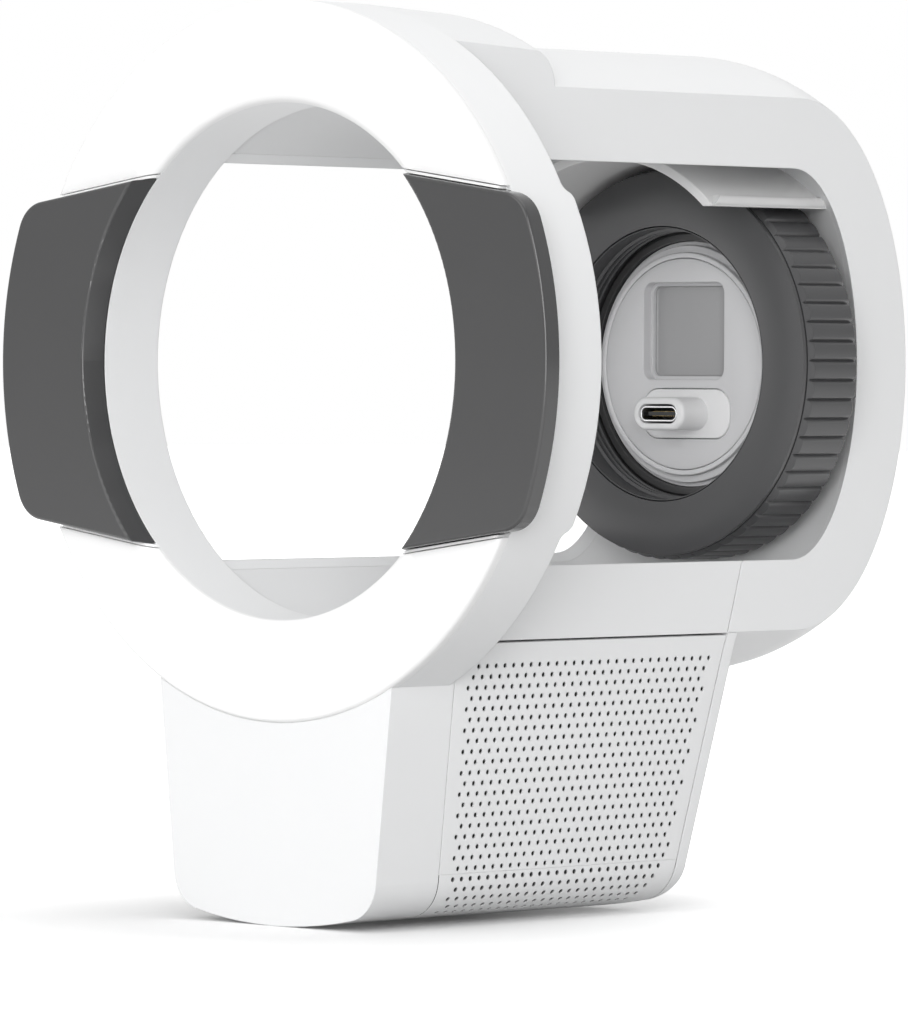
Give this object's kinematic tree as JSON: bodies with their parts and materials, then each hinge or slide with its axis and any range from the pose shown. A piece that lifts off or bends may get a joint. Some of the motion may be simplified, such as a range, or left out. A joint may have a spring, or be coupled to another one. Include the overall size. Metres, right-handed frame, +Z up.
{
  "type": "infrared illuminator",
  "caption": "Infrared lamp ring and speaker foot that a bullet camera slides into, held by a hand-turned locking ring on the rear wall.",
  "frame": {"origin": "centre of the camera bore, halfway along the bore wall of the lamp ring", "axes": "+Z up, -Y out of the front of the bore, +X to the right as seen from the front"},
  "size_m": [0.132, 0.1339, 0.1564],
  "materials": {
    "white_plastic": "fine satin",
    "face_white": "satin",
    "liner_white": "matte",
    "window_dark": "smooth, passes infrared",
    "ring_dark": "fine matte",
    "disc_grey": "matte",
    "rubber": "matte",
    "aluminium": "bare",
    "circuit_board": "solder mask",
    "lamp": "clear cap",
    "lens_clear": "polished, clear",
    "steel": "plated",
    "black_plastic": "matte",
    "magnet": "sintered",
    "cone_paper": "coated",
    "mesh_cloth": "woven",
    "brass": "bare",
    "gold": "plated",
    "board_black": "moulded",
    "lead_grey": "sheath"
  },
  "bodies": {
    "frame": {"board_parts": "board_black", "board_screws": "steel", "cable_gland": "rubber", "cavity_liner": "liner_white", "connector_board": "circuit_board", "connector_disc": "disc_grey", "foot_base": "white_plastic", "front_housing": "white_plastic", "housing_screws": "steel", "hub": "liner_white", "hub_seal": "rubber", "left_grille": "white_plastic", "left_grille_mesh": "mesh_cloth", "left_heat_spreader": "aluminium", "left_ir_board": "circuit_board", "left_ir_lamps": "lamp", "left_ir_window": "window_dark", "left_lamp_lead": "lead_grey", "left_lamp_lenses": "lens_clear", "left_lamp_screws": "steel", "left_speaker_cone": "cone_paper", "left_speaker_frame": "black_plastic", "left_speaker_magnet": "magnet", "left_speaker_screws": "steel", "left_window_gasket": "rubber", "lower_ring_face": "face_white", "main_board": "circuit_board", "mount_inserts": "brass", "plug_plate": "disc_grey", "rear_frame": "white_plastic", "rear_screws": "steel", "retainer_screws": "steel", "right_grille": "white_plastic", "right_grille_mesh": "mesh_cloth", "right_heat_spreader": "aluminium", "right_ir_board": "circuit_board", "right_ir_lamps": "lamp", "right_ir_window": "window_dark", "right_lamp_lead": "lead_grey", "right_lamp_lenses": "lens_clear", "right_lamp_screws": "steel", "right_speaker_cone": "cone_paper", "right_speaker_frame": "black_plastic", "right_speaker_magnet": "magnet", "right_speaker_screws": "steel", "right_window_gasket": "rubber", "ring_hood": "liner_white", "ring_retainer": "black_plastic", "speaker_box": "black_plastic", "speaker_box_screws": "steel", "upper_ring_face": "face_white", "usb_contacts": "gold", "usb_lead": "lead_grey", "usb_shell": "steel", "usb_tongue": "black_plastic"},
    "locking_ring": {"locking_ring": "ring_dark", "locking_ring_face": "ring_dark", "thread_insert": "ring_dark"}
  },
  "joints": [
    {"name": "locking_ring_turn", "type": "hinge", "parent": "frame", "child": "locking_ring", "pos_m": [0, 0.0958, 0], "axis": [0, 1, 0], "continuous": true}
  ]
}
